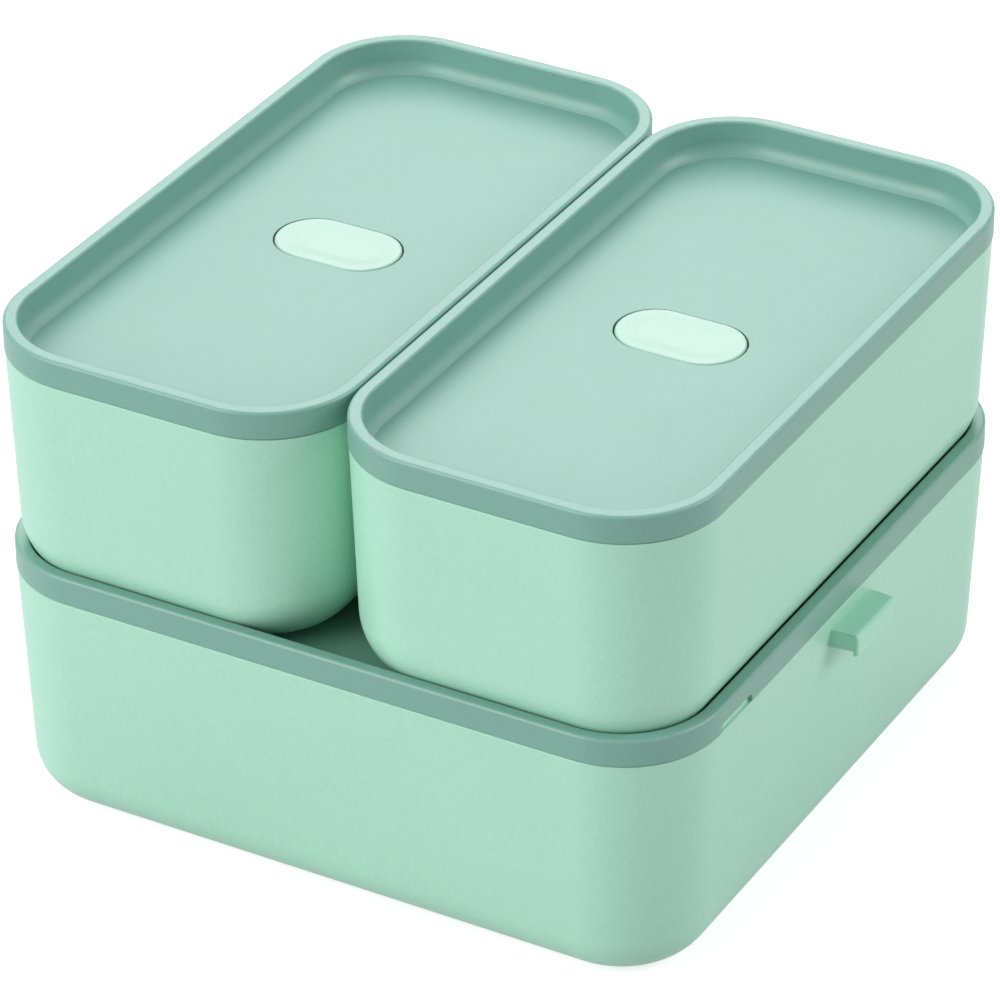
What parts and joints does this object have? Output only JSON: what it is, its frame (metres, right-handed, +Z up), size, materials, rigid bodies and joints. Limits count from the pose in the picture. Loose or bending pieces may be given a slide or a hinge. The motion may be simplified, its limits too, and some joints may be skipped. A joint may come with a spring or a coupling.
{
  "type": "lunch box",
  "caption": "Two-tier lunch box: slim lidded boxes with steam vents stand side by side in the sunken lid of a large square box with side catches.",
  "frame": {"origin": "on the surface that the box stands on, under the middle of the large box", "axes": "+Z up; +Y away from the front, along the length of the small boxes; +X towards the side with the pry notch"},
  "size_m": [0.1928, 0.1804, 0.125],
  "materials": {
    "body": "smooth mint green plastic",
    "lid": "satin grey-green plastic, finely textured in the sunken floor",
    "catch": "smooth mint green plastic, as the body",
    "vent": "pale mint plastic",
    "silicone": "pale silicone"
  },
  "bodies": {
    "large_box": {"base_box": "body", "catch_left": "catch", "catch_right": "catch"},
    "large_lid": {"base_lid": "lid", "base_lid_seal": "silicone"},
    "small_box_left": {"left_box": "body"},
    "small_lid_left": {"left_lid": "lid", "left_lid_seal": "silicone"},
    "vent_left": {"left_vent_cap": "vent", "left_vent_gasket": "silicone"},
    "small_box_right": {"right_box": "body"},
    "small_lid_right": {"right_lid": "lid", "right_lid_seal": "silicone"},
    "vent_right": {"right_vent_cap": "vent", "right_vent_gasket": "silicone"}
  },
  "joints": [
    {"name": "large_lid_lift", "type": "slide", "parent": "large_box", "child": "large_lid", "axis": [0, 0, 1], "range_m": [0, 0.08]},
    {"name": "small_box_left_lift", "type": "slide", "parent": "large_lid", "child": "small_box_left", "axis": [0, 0, 1], "range_m": [0, 0.08]},
    {"name": "small_box_right_lift", "type": "slide", "parent": "large_lid", "child": "small_box_right", "axis": [0, 0, 1], "range_m": [0, 0.08]},
    {"name": "small_lid_left_lift", "type": "slide", "parent": "small_box_left", "child": "small_lid_left", "axis": [0, 0, 1], "range_m": [0, 0.06]},
    {"name": "small_lid_right_lift", "type": "slide", "parent": "small_box_right", "child": "small_lid_right", "axis": [0, 0, 1], "range_m": [0, 0.06]},
    {"name": "vent_left_pull", "type": "slide", "parent": "small_lid_left", "child": "vent_left", "axis": [0, 0, 1], "range_m": [0, 0.015]},
    {"name": "vent_right_pull", "type": "slide", "parent": "small_lid_right", "child": "vent_right", "axis": [0, 0, 1], "range_m": [0, 0.015]}
  ]
}
